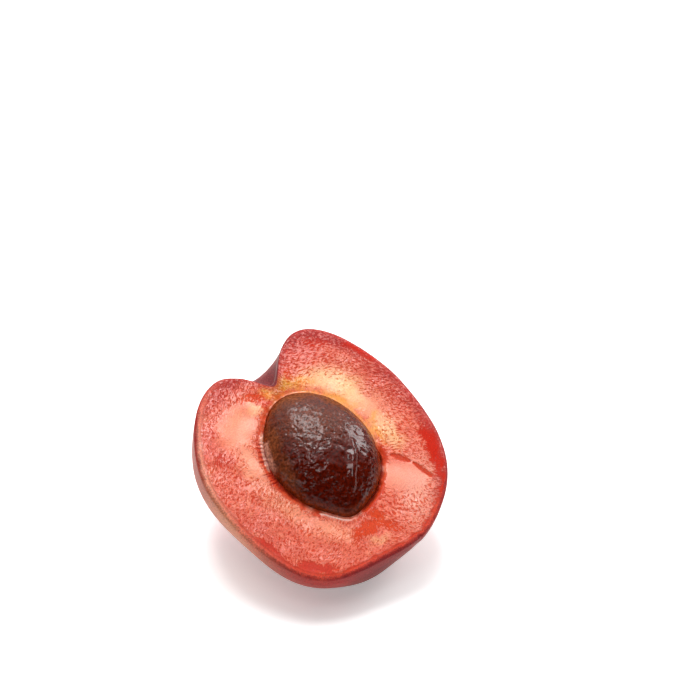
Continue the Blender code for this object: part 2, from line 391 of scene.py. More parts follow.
def smooth_step(value, low, high):
    """0 below the low value, 1 above the high one, with a soft rise between them."""
    share = np.clip((value - low) / (high - low), 0, 1)
    return share * share * (3 - 2 * share)


def ray_headings(count):
    """Headings round the cut face, drawn together towards the stem end."""
    even = np.arange(count) * 2 * math.pi / count
    return even - CROWDING * np.sin(even)


def directions(headings, dive):
    """Unit vectors at these headings, all at one dive."""
    level = math.cos(dive)
    return np.column_stack(
        [-np.sin(headings) * level, np.cos(headings) * level, np.full(len(headings), -math.sin(dive))]
    )


def bump(ways, heading, dive, spread):
    """A round swelling, 1 at its middle, on a surface seen along these unit vectors."""
    centre = directions(np.array([math.radians(heading)]), math.radians(dive))[0]
    off = np.degrees(np.arccos(np.clip(ways @ centre, -1, 1)))
    return np.exp(-((off / spread) ** 2))


def rounded_reach(ways, right, left, up, down, deep, fullness):
    """Distance to a fuller ellipsoid that reaches differently far each way."""
    x, y, z = ways.T
    across = np.abs(x) / np.where(x > 0, right, left)
    along = np.abs(y) / np.where(y > 0, up, down)
    behind = np.abs(z) / deep
    return (across**fullness + along**fullness + behind**fullness) ** (-1 / fullness)


def waves(points, length):
    """A lumpy field between -1 and 1 from crossed waves of about this length."""
    x, y, z = (points * 2 * math.pi / length).T
    field = np.sin(0.9 * x + 0.35 * y + 1.1) * np.sin(0.8 * y - 0.45 * z + 0.4)
    return (field + np.sin(1.3 * y + 0.6 * x + 2.2) * np.sin(1.1 * x - 0.8 * z + 0.9)) / 2


def stem_hollow(ways):
    """Share of the hollow's full depth on the skin along these unit vectors."""
    aside = np.degrees(np.arctan2(-ways[:, 0], ways[:, 1])) - HOLLOW_HEADING
    deep = np.degrees(np.arcsin(np.clip(ways[:, 2], -1, 1)))
    spread = np.where(aside > 0, HOLLOW_SPREAD_LEFT, HOLLOW_SPREAD_RIGHT)
    return np.exp(-((aside / spread) ** 2) - (deep / HOLLOW_SPREAD_BACK) ** 2)


def rim_ledge(headings):
    """How far the cut rim has risen, at these headings, towards the small step at the blossom end."""
    turned = -np.degrees((headings + math.pi) % (2 * math.pi) - math.pi)
    risen = smooth_step(turned, LEDGE_START, LEDGE_END)
    return risen * (1 - smooth_step(turned, LEDGE_END, LEDGE_END + LEDGE_STEP))


def skin_points(headings, share):
    """One ring of the skin, share of the way from the cut edge round to the middle of the back."""
    belly = BACK_DEPTH - WIDEST_DEPTH
    start = -math.asin((WIDEST_DEPTH / belly) ** (BACK_FULLNESS / 2))
    climb = start + (math.pi / 2 - start) * share
    depth = WIDEST_DEPTH + belly * math.copysign(abs(math.sin(climb)) ** (2 / BACK_FULLNESS), climb)
    width = (max(0.0, math.cos(climb)) / math.cos(start)) ** (2 / BACK_FULLNESS)
    level = directions(headings, 0.0)
    reach = rounded_reach(level, RIGHT_REACH, LEFT_REACH, STEM_REACH, BLOSSOM_REACH, 1, FULLNESS)
    base = level * (reach * width)[:, None] - np.array([0, 0, depth])
    length = np.linalg.norm(base, axis=1)
    ways = base / length[:, None]
    for heading, dive, height, spread in SWELLINGS.values():
        length = length + height * bump(ways, heading, dive, spread)
    length = length + LEDGE_HEIGHT * rim_ledge(headings) * math.exp(-((depth / LEDGE_DEPTH) ** 2))
    return ways * (length - HOLLOW_DEPTH * stem_hollow(ways))[:, None]


def stone_reach(ways):
    """Distance from the middle of the stone to its surface, without its roughness and its ridge."""
    reach = rounded_reach(
        ways,
        STONE_RIGHT_REACH,
        STONE_LEFT_REACH,
        STONE_STEM_REACH,
        STONE_TIP_REACH,
        STONE_HALF_THICKNESS,
        STONE_FULLNESS,
    )
    for heading, dive, height, spread in STONE_SWELLINGS.values():
        reach = reach + height * bump(ways, heading, dive, spread)
    dive = np.degrees(np.arcsin(np.clip(ways[:, 2], -1, 1)))
    return reach + KEEL_HEIGHT * np.exp(-((dive / KEEL_SPREAD) ** 2))


def ridge_rise(points):
    """Height of the low ridge that runs up the stone's cheek from its pointed end."""
    run = RIDGE_END - RIDGE_START
    length = math.hypot(*run)
    along = (points[:, :2] - RIDGE_START) @ (run / length)
    aside = (points[:, :2] - RIDGE_START) @ np.array([run[1], -run[0]]) / length
    aside = aside + 0.25 * MM * noise(points, 2.0 * MM, 71)
    ends = smooth_step(along, 0, 2 * MM) * smooth_step(length - along, 0, 5 * MM)
    width = RIDGE_HALF_WIDTH * (1 + RIDGE_WIDENING * np.clip(along / length, 0, 1) ** 2)
    ridge = np.exp(-((aside / width) ** 2))
    trough = np.exp(-((aside / width + TROUGH_PLACE) ** 2))
    return RIDGE_HEIGHT * ends * (ridge - TROUGH_SHARE * trough)


def groove_share(headings):
    """How deep and wide the groove round the stone is at these headings, with an uneven edge."""
    turned = np.degrees((headings + math.pi) % (2 * math.pi) - math.pi)
    share = np.interp(turned, GROOVE_HEADINGS, GROOVE_SHARES)
    around = directions(headings, 0.0) * STONE_SIDE_RADIUS
    return share * (1 + 0.4 * noise(around, 2.4 * MM, 5) + 0.3 * noise(around, 0.9 * MM, 6))


def groove_rings(headings):
    """Rings of the wet groove, from the stone out to the flesh."""
    level = directions(headings, 0.0)
    stone = stone_reach(level)
    share = groove_share(headings)
    rings = []
    for away, height in GROOVE_PROFILE:
        ring = level * (stone + away)[:, None]
        ring[:, 2] = height * share
        rings.append(ring)
    return rings


def pocket_points(headings, dive):
    """One ring of the pocket, which follows the stone closely below the groove."""
    ways = directions(headings, dive)
    return ways * (stone_reach(ways) + POCKET_GAP)[:, None] - np.array([0, 0, STONE_SINK])


def hollow_share(headings):
    """1 in the stem hollow at the rim of the cut, 0 away from it."""
    return smooth_step(stem_hollow(directions(headings, 0.0)), 0.08, 0.45)


def edge_width(headings):
    """Width of the cut's rounded edge at these headings, which is narrow in the stem hollow."""
    return EDGE_WIDTH * (1 - HOLLOW_EDGE_LOSS * hollow_share(headings))


def face_reach(headings):
    """Distance from the middle of the fruit to the end of the flat cut face, where its edge starts."""
    return np.linalg.norm(skin_points(headings, 0), axis=1) - edge_width(headings)


def skin_ray_count(ring):
    """Points in this ring of the skin, fewer towards the middle of the back."""
    left = SKIN_RINGS - ring
    if ring < 4:
        return RAYS
    if left > 10:
        return RAYS // 2
    if left > 4:
        return RAYS // 4
    return RAYS // 16


def half_rings():
    """Rings of the flesh and skin with their names, from the bottom of the pocket to the back."""
    fine = ray_headings(RAYS)
    level = directions(fine, 0.0)
    rings = []
    for k in range(1, POCKET_RINGS):
        headings = ray_headings(RAYS // 2 if k > 2 else RAYS // 8)
        dive = math.pi / 2 * (1 - k / POCKET_RINGS) + POCKET_TOP_DIVE
        rings.append(("pocket", pocket_points(headings, dive)))
    rings.append(("pocket", pocket_points(fine, POCKET_TOP_DIVE)))
    rings += [("groove", ring) for ring in groove_rings(fine)]
    lip = level * (stone_reach(level) + LIP_REACH)[:, None]
    edge = level * face_reach(fine)[:, None]
    for k in range(FACE_RINGS + 1):
        rings.append(("face", lip + (edge - lip) * (k / FACE_RINGS)))
    skin = skin_points(fine, EDGE_END_SHARE)
    hollow = hollow_share(fine)
    skin[:, 2] = skin[:, 2] * hollow - EDGE_DROP * (1 - hollow)
    for k in range(1, EDGE_RINGS + 1):
        turn = k / EDGE_RINGS * math.pi / 2
        bend = np.array([math.sin(turn), math.sin(turn), 1 - math.cos(turn)])
        rings.append(("edge", edge + (skin - edge) * bend))
    for k in range(1, SKIN_RINGS):
        share = EDGE_END_SHARE + (1 - EDGE_END_SHARE) * (k / SKIN_RINGS) ** 1.2
        rings.append(("skin", skin_points(ray_headings(skin_ray_count(k)), share)))
    return rings


def loft_faces(counts, first, last):
    """Faces over rings of these point counts, where a ring may have a fraction of the next one's points.

    The first and last are the numbers of the points that close the two ends.
    """
    starts = np.cumsum([0] + counts)
    faces = []
    for index in range(len(counts) - 1):
        low, high = counts[index], counts[index + 1]
        base, top = starts[index], starts[index + 1]
        many, few = max(low, high), min(low, high)
        step = many // few
        for i in range(few):
            j = (i + 1) % few
            if step == 1:
                faces.append((base + i, top + i, top + j, base + j))
                continue
            fan = [i * step + s for s in range(step)] + [(i + 1) * step % many]
            if low > high:
                faces.append([top + i, top + j] + [base + f for f in reversed(fan)])
            else:
                faces.append([top + f for f in fan] + [base + j, base + i])
    for i in range(counts[0]):
        faces.append((first, i, (i + 1) % counts[0]))
    end = starts[-2]
    for i in range(counts[-1]):
        faces.append((last, end + (i + 1) % counts[-1], end + i))
    return faces


def warped(points):
    """The points shifted by a few soft swirls, so that streaks laid on them curl."""
    wide = [noise(points, 9 * MM, seed) for seed in (21, 22)]
    narrow = [noise(points, 1.7 * MM, seed) for seed in (23, 24)]
    shift = 1.6 * MM * np.column_stack(wide) + 0.3 * MM * np.column_stack(narrow)
    return points + np.column_stack([shift, np.zeros(len(points))])


def along_fibres(points, degrees, squeeze):
    """The points in axes along and across a fibre direction, shortened along it."""
    turn = math.radians(degrees)
    along = points[:, 0] * math.cos(turn) + points[:, 1] * math.sin(turn)
    across = -points[:, 0] * math.sin(turn) + points[:, 1] * math.cos(turn)
    return np.column_stack([along * squeeze, across, points[:, 2]])


def left_share(points):
    """1 on the left of the cut face, 0 on the right, with a blurred, winding change."""
    return smooth_step(-points[:, 0] + 3 * MM * noise(points, 6 * MM, 25), -4 * MM, 3 * MM)


def squiggles(points, size, seed):
    """Short dents drawn out along the fibres, 1 in a dent and 0 off it."""
    curled = warped(points)
    right = noise(along_fibres(curled, RIGHT_FIBRES, 0.45), size, seed)
    left = noise(along_fibres(curled, LEFT_FIBRES, 0.45), size, seed + 1)
    return smooth_step(right + (left - right) * left_share(points), 0.2, 0.55)


def shaken(points):
    """The points shifted a little at random, which gives patches laid on them ragged edges."""
    coarse = [noise(points, 2.6 * MM, seed) for seed in (31, 32)]
    fine = [noise(points, 0.8 * MM, seed) for seed in (33, 34)]
    return points[:, :2] + 0.9 * MM * np.column_stack(coarse) + 0.45 * MM * np.column_stack(fine)


def patch_weight(spots, x, y, long, wide, turn, solid):
    """How far each of these shaken points is inside an oval patch that is solid up to this share."""
    angle = math.radians(turn)
    off = spots - np.array([x, y]) * MM
    along = (off[:, 0] * math.cos(angle) + off[:, 1] * math.sin(angle)) / (long * MM)
    across = (-off[:, 0] * math.sin(angle) + off[:, 1] * math.cos(angle)) / (wide * MM)
    return 1 - smooth_step(np.hypot(along, across), solid, 1.8 - solid)


def strongest(spots, patches):
    """The strongest of these patches at each shaken point."""
    weight = np.zeros(len(spots))
    for x, y, long, wide, turn, strength in patches:
        weight = np.maximum(weight, strength * patch_weight(spots, x, y, long, wide, turn, SOFT_PATCH))
    return weight


def split_weight(points):
    """1 inside the narrow splits of the flesh, 0 away from them."""
    weight = np.zeros(len(points))
    for x0, y0, x1, y1, half in SPLITS:
        start = np.array([x0, y0]) * MM
        run = np.array([x1, y1]) * MM - start
        share = np.clip(((points[:, :2] - start) @ run) / (run @ run), 0, 1)
        near = start + share[:, None] * run
        away = np.linalg.norm(points[:, :2] - near, axis=1) + 0.1 * MM * noise(points, 0.7 * MM, 41)
        width = half * MM * (0.35 + 0.65 * np.sin(math.pi * (0.1 + 0.8 * share)))
        weight = np.maximum(weight, 1 - smooth_step(away / width, 0.5, 1.3))
    return weight


def torn_fibres(headings, stone_gap):
    """1 on the short torn fibres that stand out from the stone on its left, 0 off them."""
    around = directions(headings, 0.0) * STONE_SIDE_RADIUS
    reach = (1.4 + 1.3 * noise(around, 0.7 * MM, 43)) * MM
    comb = smooth_step(noise(around, 0.42 * MM, 44), 0.0, 0.3)
    degrees = np.degrees(headings)
    side = smooth_step(degrees, 38, 52) * (1 - smooth_step(degrees, 92, 112))
    return side * comb * (1 - smooth_step(stone_gap, 0.6 * reach, np.maximum(1.1 * reach, 0.2 * MM)))


def juice_threads(headings, stone_gap):
    """The threads of juice along the stone: colour, height, and how far these points are on each."""
    around = directions(headings, 0.0) * STONE_SIDE_RADIUS
    gap = stone_gap + 0.12 * MM * noise(around, 1.4 * MM, 45)
    threads = []
    for colour, middle, reach, away, half, height in JUICE_THREADS:
        ends = 1 - smooth_step(np.abs(np.degrees(headings) - middle), 0.6 * reach, reach)
        threads.append((colour, height, ends * np.exp(-(((gap - away) / half) ** 2))))
    return threads


def face_relief(points, headings, rough, stone_gap):
    """Height of the cut face's fine relief above its level."""
    height = CUT_UNEVENNESS * waves(points, 9 * MM)
    height += CUT_GRAIN * noise(points, 2.4 * MM, 11)
    height -= SQUIGGLE_DEPTH * rough * squiggles(points, 0.42 * MM, 14)
    height -= SPLIT_DEPTH * split_weight(points)
    height = height * smooth_step(stone_gap, 0.2 * MM, 1.6 * MM)
    height += sum(high * weight for _, high, weight in juice_threads(headings, stone_gap))
    return height - FIBRE_DEPTH * torn_fibres(headings, stone_gap)


def banded_share(headings):
    """1 where the cut's rounded edge shows as a smooth band, at the left and below, 0 where it is rough."""
    return smooth_step(-np.cos(headings + math.radians(60)), -0.35, 0.25)


def peach_share(headings):
    """How peach-coloured the cut's rounded edge is at these headings, most at the left."""
    return 0.9 * bump(directions(headings, 0.0), 68, 0, 36)


def rim_line(gap):
    """1 on the fine dark line where the flat cut face meets its rounded edge, 0 off it."""
    return np.exp(-((gap / RIM_LINE_WIDTH) ** 2))


def laid(tint, colour, weight):
    """These colours with another one laid over them."""
    return tint + (colour - tint) * weight[:, None]


def open_tints(points, spots):
    """Juicy and bare colours of the open cut face at these points, and how juicy it is."""
    cloud = noise(points, 3.2 * MM, 51) * 0.5 + noise(points, 1.3 * MM, 52) * 0.5
    juicy = np.tile(SALMON, (len(points), 1))
    juicy = laid(juicy, PALE_SALMON_AND_GLARE, smooth_step(cloud, 0.0, 0.7) * 0.5)
    juicy = laid(juicy, BLUSH, smooth_step(-cloud, 0.0, 0.7) * 0.35)
    for colour, x, y, long, wide, turn, strength in JUICY_PATCHES:
        juicy = laid(juicy, colour, strength * patch_weight(spots, x, y, long, wide, turn, SOFT_PATCH))
    golden = smooth_step(0.45 - juicy[:, 2] / juicy[:, 1], 0, 0.25)
    bare = juicy * laid(np.tile(BARE_SHARE, (len(points), 1)), GOLDEN_BARE_SHARE, golden)
    film = 0.47 + 0.25 * noise(points, 2.4 * MM, 91) + 0.55 * strongest(spots, JUICE_POOLS)
    return juicy, bare, film


def outer_tints(juicy, bare, film, points, spots, headings, rim_gap):
    """The cut face's colours and juice with its bare patches and its rim next to the skin, whose red is
    partly painted shade, and painted shade on the edge in the stem hollow.
    """
    banded = banded_share(headings)
    ragged = rim_gap + 0.5 * MM * noise(points, 1.8 * MM, 53)
    ragged += 0.25 * MM * noise(points, 0.6 * MM, 54)
    # Redder rim of the rough face towards the skin: partly its own colour, partly painted shade where it
    # curves away from the light
    rim_red_and_shade = (1 - banded) * (1 - smooth_step(ragged, -0.6 * MM, 3.0 * MM))
    juicy = laid(juicy, ROSE, 0.8 * rim_red_and_shade)
    bare = laid(bare, MAUVE_RED, 0.7 * rim_red_and_shade)
    film = film - 0.4 * rim_red_and_shade
    for colour, x, y, long, wide, turn, strength in BARE_PATCHES:
        weight = patch_weight(spots, x, y, long, wide, turn, FIRM_PATCH)
        bare = laid(bare, colour, strength * weight)
        film -= 1.2 * strength * weight
    band = banded * (1 - smooth_step(ragged, -0.3 * MM, 0.5 * MM))
    band_tint = laid(np.tile(BAND_RED, (len(points), 1)), BAND_PEACH, peach_share(headings))
    line = banded * rim_line(rim_gap)
    # Painted shade: the cut's edge in the stem hollow laid with the skin's shaded mauve
    hollow_edge_shade = 0.85 * hollow_share(headings) * smooth_step(-rim_gap, 0.05 * MM, 0.4 * MM)
    for colour, weight in ((band_tint, 0.8 * band), (SHADE_RED, 0.4 * line), (SKIN_SHADE_MAUVE, hollow_edge_shade)):
        juicy = laid(juicy, colour, weight)
        bare = laid(bare, colour, weight)
    return juicy, bare, film - 0.6 * band - 2.2 * hollow_edge_shade


def inner_tints(juicy, bare, film, points, headings, stone_gap):
    """The cut face's colours and juice with the ring and the painted shade in the groove round the stone.
    """
    degrees = np.degrees(headings)
    share = np.clip(groove_share(headings), 0, 1)
    hug = stone_gap + 0.35 * MM * noise(points, 1.2 * MM, 55)
    ring = 1 - smooth_step(hug, 0.3 * MM, 1.0 * MM)
    film = film - 0.9 * share * (1 - smooth_step(hug, 0.9 * MM, 2.0 * MM))
    film -= 1.2 * smooth_step(-degrees, 140, 150) * (1 - smooth_step(hug, 0.4 * MM, 0.9 * MM))
    low = smooth_step(np.abs(degrees), 118, 140)
    juicy = laid(juicy, AMBER, 0.7 * ring * (1 - share) * (1 - low))
    # Pale pink round the stone's lower end: partly painted glare
    juicy = laid(juicy, POOL_PINK_AND_GLARE, 0.8 * ring * (1 - share) * low)
    right = smooth_step(-degrees, -25, -5) * (1 - smooth_step(-degrees, 100, 125))
    bare = laid(bare, ORANGE_RED, 0.9 * ring * (1 - right))
    bare = laid(bare, ORANGE, 0.8 * ring * right)
    flank = smooth_step(degrees, 80, 100) * (1 - smooth_step(degrees, 150, 165))
    # Painted shade: the groove round the stone darkened towards the stone, over a wider band on its left
    # and lower left
    deep = 0.9 * share * (1 - smooth_step(hug, 0.1 * MM, (0.7 + 0.4 * flank) * MM))
    return laid(juicy, POCKET_SHADE_RED, deep), laid(bare, POCKET_SHADE_RED, deep), film


def flesh_tints(points, headings, stone_gap, rim_gap):
    """Juicy and bare colours of the cut face at these points, and how juicy it is."""
    spots = shaken(points)
    juicy, bare, film = open_tints(points, spots)
    juicy, bare, film = outer_tints(juicy, bare, film, points, spots, headings, rim_gap)
    juicy, bare, film = inner_tints(juicy, bare, film, points, headings, stone_gap)
    torn = 0.85 * torn_fibres(headings, stone_gap)
    split = split_weight(points)
    juicy = laid(laid(juicy, SHADE_RED, torn), SPLIT_RED, split)
    bare = laid(laid(bare, SHADE_RED, torn), SPLIT_RED, split)
    film -= split
    for colour, _, weight in juice_threads(headings, stone_gap):
        # Painted glints: the pale colour of each thread of juice laid over the flesh
        juicy = laid(juicy, colour, 0.85 * weight)
        film += 1.5 * weight
    return juicy, bare, film


def skin_tints(points, headings, edge_gap):
    """Colour of the skin at these points, which reddens towards the cut, with painted shade on one cheek
    and in the stem hollow.
    """
    ways = points / np.linalg.norm(points, axis=1)[:, None]
    tint = np.tile(SKIN_RED, (len(points), 1))
    tint = laid(tint, SKIN_SCARLET, smooth_step(noise(points, 16 * MM, 61), -0.1, 0.6))
    tint = laid(tint, SKIN_CRIMSON, smooth_step(noise(points, 13 * MM, 62), 0.0, 0.7) * 0.8)
    # Painted sheen, partly the down's own tan: tan on the cheek below the cut on the left
    tint = laid(tint, SKIN_TAN_AND_SHEEN, 0.75 * bump(ways, **TAN_SHEEN_CHEEK))
    # Painted shade: mauve on the shaded cheek at the blossom end and in the stem hollow
    tint = laid(tint, SKIN_SHADE_MAUVE, 0.6 * bump(ways, **SHADED_CHEEK))
    tint = laid(tint, SKIN_SHADE_MAUVE, 0.8 * smooth_step(stem_hollow(ways), 0.1, 0.6))
    ragged = edge_gap + 0.3 * MM * noise(points, 1.6 * MM, 63)
    banded = banded_share(headings)
    band = laid(np.tile(MAUVE_RED, (len(points), 1)), BAND_RED, banded)
    band = laid(band, BAND_PEACH, peach_share(headings))
    near = 1 - smooth_step(ragged, 0.3 * MM, (1.9 - 0.7 * banded) * MM)
    tint = laid(tint, band, 0.9 * near * (1 - hollow_share(headings)))
    return laid(tint, SHADE_RED, 0.4 * banded * rim_line(edge_gap))


def stone_tints(points, spots):
    """Colours of the stone at these points, with a painted pale sheen on its left rim, and how wet it is.
    """
    film = strongest(spots, STONE_FILM_PATCHES)
    tint = laid(np.tile(STONE_DARK, (len(points), 1)), STONE_FILM, film)
    off_level = np.abs(points[:, 2]) + 0.5 * MM * noise(points, 1.5 * MM, 86)
    level = 1 - smooth_step(off_level, 0.5 * MM, 1.8 * MM)
    tint = laid(tint, STONE_RIM, 0.8 * level)
    degrees = np.degrees(np.arctan2(-points[:, 0], points[:, 1]))
    # Painted sheen: a pale colour laid on the stone's left rim near the cut
    pale = level * smooth_step(degrees, 46, 54) * (1 - smooth_step(degrees, 78, 88))
    tint = laid(tint, STONE_PAINTED_SHEEN, 0.7 * pale)
    low_left = smooth_step(degrees, 95, 120) * (1 - smooth_step(off_level, 1.2 * MM, 3.6 * MM))
    return tint, np.clip((1 - 0.9 * film * (1 - pale)) * (1 - 0.7 * low_left), 0.1, 1)


def placing():
    """The matrix that lays the fruit's own frame down in the shared one."""
    tipped = Matrix.Rotation(TIP, 4, "X") @ Matrix.Rotation(TURN, 4, "Z")
    return Matrix.Translation(FACE_CENTRE) @ Matrix.Rotation(SWING, 4, "Z") @ tipped


def settled(points):
    """These points laid down, with the lowest ones pressed gently flat on the floor."""
    matrix = np.array(placing())
    lying = points @ matrix[:3, :3].T + matrix[:3, 3]
    height = lying[:, 2]
    lying[:, 2] = (height + np.sqrt(height**2 + PRESSED_EASE**2)) / 2
    return lying


def add_values(mesh, name, kind, values):
    """Stores one value per point on the mesh, for the materials."""
    layer = mesh.attributes.new(name, kind, "POINT")
    key = {"FLOAT": "value", "FLOAT_VECTOR": "vector", "FLOAT_COLOR": "color"}[kind]
    layer.data.foreach_set(key, np.ascontiguousarray(values, np.float32).ravel())


def add_colours(mesh, name, colours):
    """Stores one colour per point on the mesh."""
    add_values(mesh, name, "FLOAT_COLOR", np.column_stack([colours, np.ones(len(colours))]))


def piece(name, points, faces):
    """A smooth-shaded object of this mesh."""
    mesh = bpy.data.meshes.new(name)
    mesh.from_pydata(points.tolist(), [], faces)
    mesh.update()
    mesh.shade_smooth()
    made = bpy.data.objects.new(name, mesh)
    bpy.context.scene.collection.objects.link(made)
    return made


def socket_values(node, values):
    """Sets these sockets of the node to fixed values."""
    for name, value in values.items():
        node.inputs[name].default_value = value


class Graph:
    """A new material's node graph, with short ways to add the nodes that the looks are made of."""

    def __init__(self, name):
        """Starts with the principled shader that a new material has."""
        self.material = bpy.data.materials.new(name)
        self.material.use_nodes = True
        self.nodes = self.material.node_tree.nodes
        self.links = self.material.node_tree.links
        self.shader = self.nodes["Principled BSDF"]

    def add(self, kind, values, **settings):
        """A new node, whose values are fixed or come from other nodes' sockets."""
        node = self.nodes.new(kind)
        for key, value in settings.items():
            setattr(node, key, value)
        for name, value in values.items():
            if isinstance(value, bpy.types.NodeSocket):
                self.links.new(value, node.inputs[name])
            else:
                node.inputs[name].default_value = value
        return node

    def attribute(self, name, output):
        """One output of a value that is stored on the mesh."""
        return self.add("ShaderNodeAttribute", {}, attribute_name=name).outputs[output]

    def math(self, operation, first, second=0.0):
        """One step of arithmetic."""
        return self.add("ShaderNodeMath", {0: first, 1: second}, operation=operation).outputs[0]

    def product(self, *factors):
        """All the factors multiplied."""
        result = factors[0]
        for factor in factors[1:]:
            result = self.math("MULTIPLY", result, factor)
        return result

    def grain(self, vector, scale, detail):
        """Fine noise, about 0.5 on average."""
        values = {"Vector": vector, "Scale": scale, "Detail": detail}
        return self.add("ShaderNodeTexNoise", values).outputs["Fac"]

    def ranged(self, value, low, high, start, end):
        """A soft rise from start to end while the value goes from low to high."""
        values = {"Value": value, "From Min": low, "From Max": high, "To Min": start, "To Max": end}
        return self.add("ShaderNodeMapRange", values, interpolation_type="SMOOTHSTEP").outputs["Result"]

    def mixed(self, share, first, second):
        """A colour that goes from the first to the second with the share."""
        values = {"Factor": share, "A": first, "B": second}
        return self.add("ShaderNodeMix", values, data_type="RGBA").outputs["Result"]

    def scaled(self, colour, by):
        """The colour made darker or lighter."""
        return self.add("ShaderNodeVectorMath", {0: colour, "Scale": by}, operation="SCALE").outputs[0]

    def bump(self, height, distance, strength):
        """A normal tilted by this height."""
        values = {"Height": height, "Distance": distance, "Strength": strength}
        return self.add("ShaderNodeBump", values).outputs["Normal"]

    def lines(self, vector, scale, half_width, mask_scale, mask_from):
        """Short wavy lines: 1 on a line, 0 off it."""
        field = self.grain(vector, scale, 1.5)
        away = self.math("ABSOLUTE", self.math("SUBTRACT", field, 0.5))
        line = self.ranged(away, half_width, 0.0, 0.0, 1.0)
        mask = self.ranged(self.grain(vector, mask_scale, 1.0), mask_from, mask_from + 0.1, 0.0, 1.0)
        return self.product(line, mask)

    def turned(self, vector, degrees, stretch):
        """The vector in axes along and across a direction, stretched along it."""
        values = {"Vector": vector, "Rotation": (0, 0, math.radians(degrees)), "Scale": (stretch, 1, 1)}
        return self.add("ShaderNodeMapping", values, vector_type="TEXTURE").outputs["Vector"]

    def blended(self, share, first, second):
        """A number that goes from the first to the second with the share."""
        return self.add("ShaderNodeMix", {"Factor": share, "A": first, "B": second}).outputs["Result"]

    def finish(self, colour, normal, values):
        """The material with its colour, its normal and fixed values on the shader."""
        self.links.new(colour, self.shader.inputs["Base Color"])
        self.links.new(normal, self.shader.inputs["Normal"])
        self.links.new(normal, self.shader.inputs["Coat Normal"])
        socket_values(self.shader, values)
        return self.material


def flesh_material():
    """Wet cut flesh: a film of juice, broken by matt flecks and short dark dashes along the fibres, with
    painted pale glints on the flecks.
    """
    graph = Graph("cut_flesh")
    curled = graph.attribute("curled", "Vector")
    juiciness = graph.attribute("film", "Fac")
    rough = graph.attribute("rough", "Fac")
    left = graph.attribute("left", "Fac")
    dashes, flecks = [], []
    for degrees in (RIGHT_FIBRES, LEFT_FIBRES):
        fibre = graph.turned(curled, degrees, FIBRE_STRETCH)
        long = graph.lines(fibre, 1.9, 0.045, 1.4, 0.4)
        short = graph.lines(fibre, 3.3, 0.05, 2.4, 0.42)
        dashes.append(graph.math("MAXIMUM", long, graph.product(short, 0.8)))
        flecks.append(graph.grain(fibre, 2.7, 3.0))
    dash = graph.product(graph.blended(left, *dashes), rough)
    fleck = graph.ranged(graph.blended(left, *flecks), 0.2, 0.8, -1.2, 1.2)
    fleck = graph.product(fleck, graph.blended(left, 0.95, 0.58))
    cover = graph.math("ADD", juiciness, graph.product(fleck, rough))
    cover = graph.math("SUBTRACT", cover, graph.product(dash, 0.85))
    film = graph.ranged(cover, -0.14, 0.18, 0.0, 1.0)
    wet = graph.ranged(juiciness, 0.1, 0.5, 0.15, 1.0)
    # Painted glints: a pale pink laid on the raised flecks where the flesh is wet
    painted_glint = graph.ranged(fleck, 0.0, 1.1, 0.0, 0.2)
    painted_glint = graph.product(painted_glint, graph.blended(left, 1.0, 0.2), wet, rough)
    juicy = graph.mixed(painted_glint, graph.attribute("juicy", "Color"), FLESH_PAINTED_GLINT)
    grain = graph.grain(curled, 3.4, 3.0)
    colour = graph.mixed(film, graph.attribute("bare", "Color"), juicy)
    colour = graph.scaled(colour, graph.ranged(grain, 0.32, 0.68, 0.86, 1.14))
    height = graph.math("ADD", film, graph.product(grain, 0.4))
    graph.links.new(graph.ranged(film, 0.0, 1.0, 0.06, 0.6), graph.shader.inputs["Coat Weight"])
    return graph.finish(
        colour,
        graph.bump(height, 0.08 * MM, 0.8),
        {
            "Roughness": 0.42,
            "Specular IOR Level": 0.06,
            "Subsurface Weight": 0.25,
            "Subsurface Radius": (1.0, 0.35, 0.2),
            "Subsurface Scale": MM,
            "Coat Roughness": 0.12,
            "Coat IOR": JUICE_IOR,
        },
    )


def skin_material():
    """Matt skin with a short soft down and pale specks."""
    graph = Graph("downy_skin")
    spot = graph.attribute("spot", "Vector")
    fuzz = graph.grain(spot, 3.6, 4.0)
    away = graph.add("ShaderNodeTexVoronoi", {"Vector": spot, "Scale": 3.2}).outputs["Distance"]
    dot = graph.ranged(away, 0.15, 0.4, 1.0, 0.0)
    strength = graph.ranged(graph.grain(spot, 1.6, 2.0), 0.4, 0.62, 0.2, 0.5)
    colour = graph.mixed(graph.product(dot, strength), graph.attribute("skin", "Color"), SKIN_SPECK)
    colour = graph.scaled(colour, graph.ranged(fuzz, 0.3, 0.7, 0.7, 1.35))
    return graph.finish(
        colour,
        graph.bump(fuzz, 0.08 * MM, 0.5),
        {
            "Roughness": 0.62,
            "Specular IOR Level": 0.25,
            "Subsurface Weight": 0.12,
            "Subsurface Radius": (1.0, 0.2, 0.1),
            "Subsurface Scale": MM,
            "Sheen Weight": 0.3,
            "Sheen Roughness": 0.3,
            "Sheen Tint": SKIN_DOWN,
        },
    )


def stone_material():
    """Dark pitted stone, wet where the juice still covers it."""
    graph = Graph("wet_stone")
    spot = graph.attribute("spot", "Vector")
    grain = graph.grain(spot, 2.2, 3.0)
    pits = graph.lines(spot, 1.6, 0.05, 1.0, 0.46)
    colour = graph.scaled(graph.attribute("tint", "Color"), graph.ranged(grain, 0.3, 0.7, 0.55, 1.5))
    height = graph.math("SUBTRACT", grain, graph.product(pits, 0.5))
    height = graph.product(height, graph.attribute("rough", "Fac"))
    graph.links.new(graph.attribute("wet", "Fac"), graph.shader.inputs["Coat Weight"])
    return graph.finish(
        colour,
        graph.bump(height, 0.07 * MM, 0.8),
        {"Roughness": 0.5, "Specular IOR Level": 0.0, "Coat Roughness": 0.05, "Coat IOR": JUICE_IOR},
    )


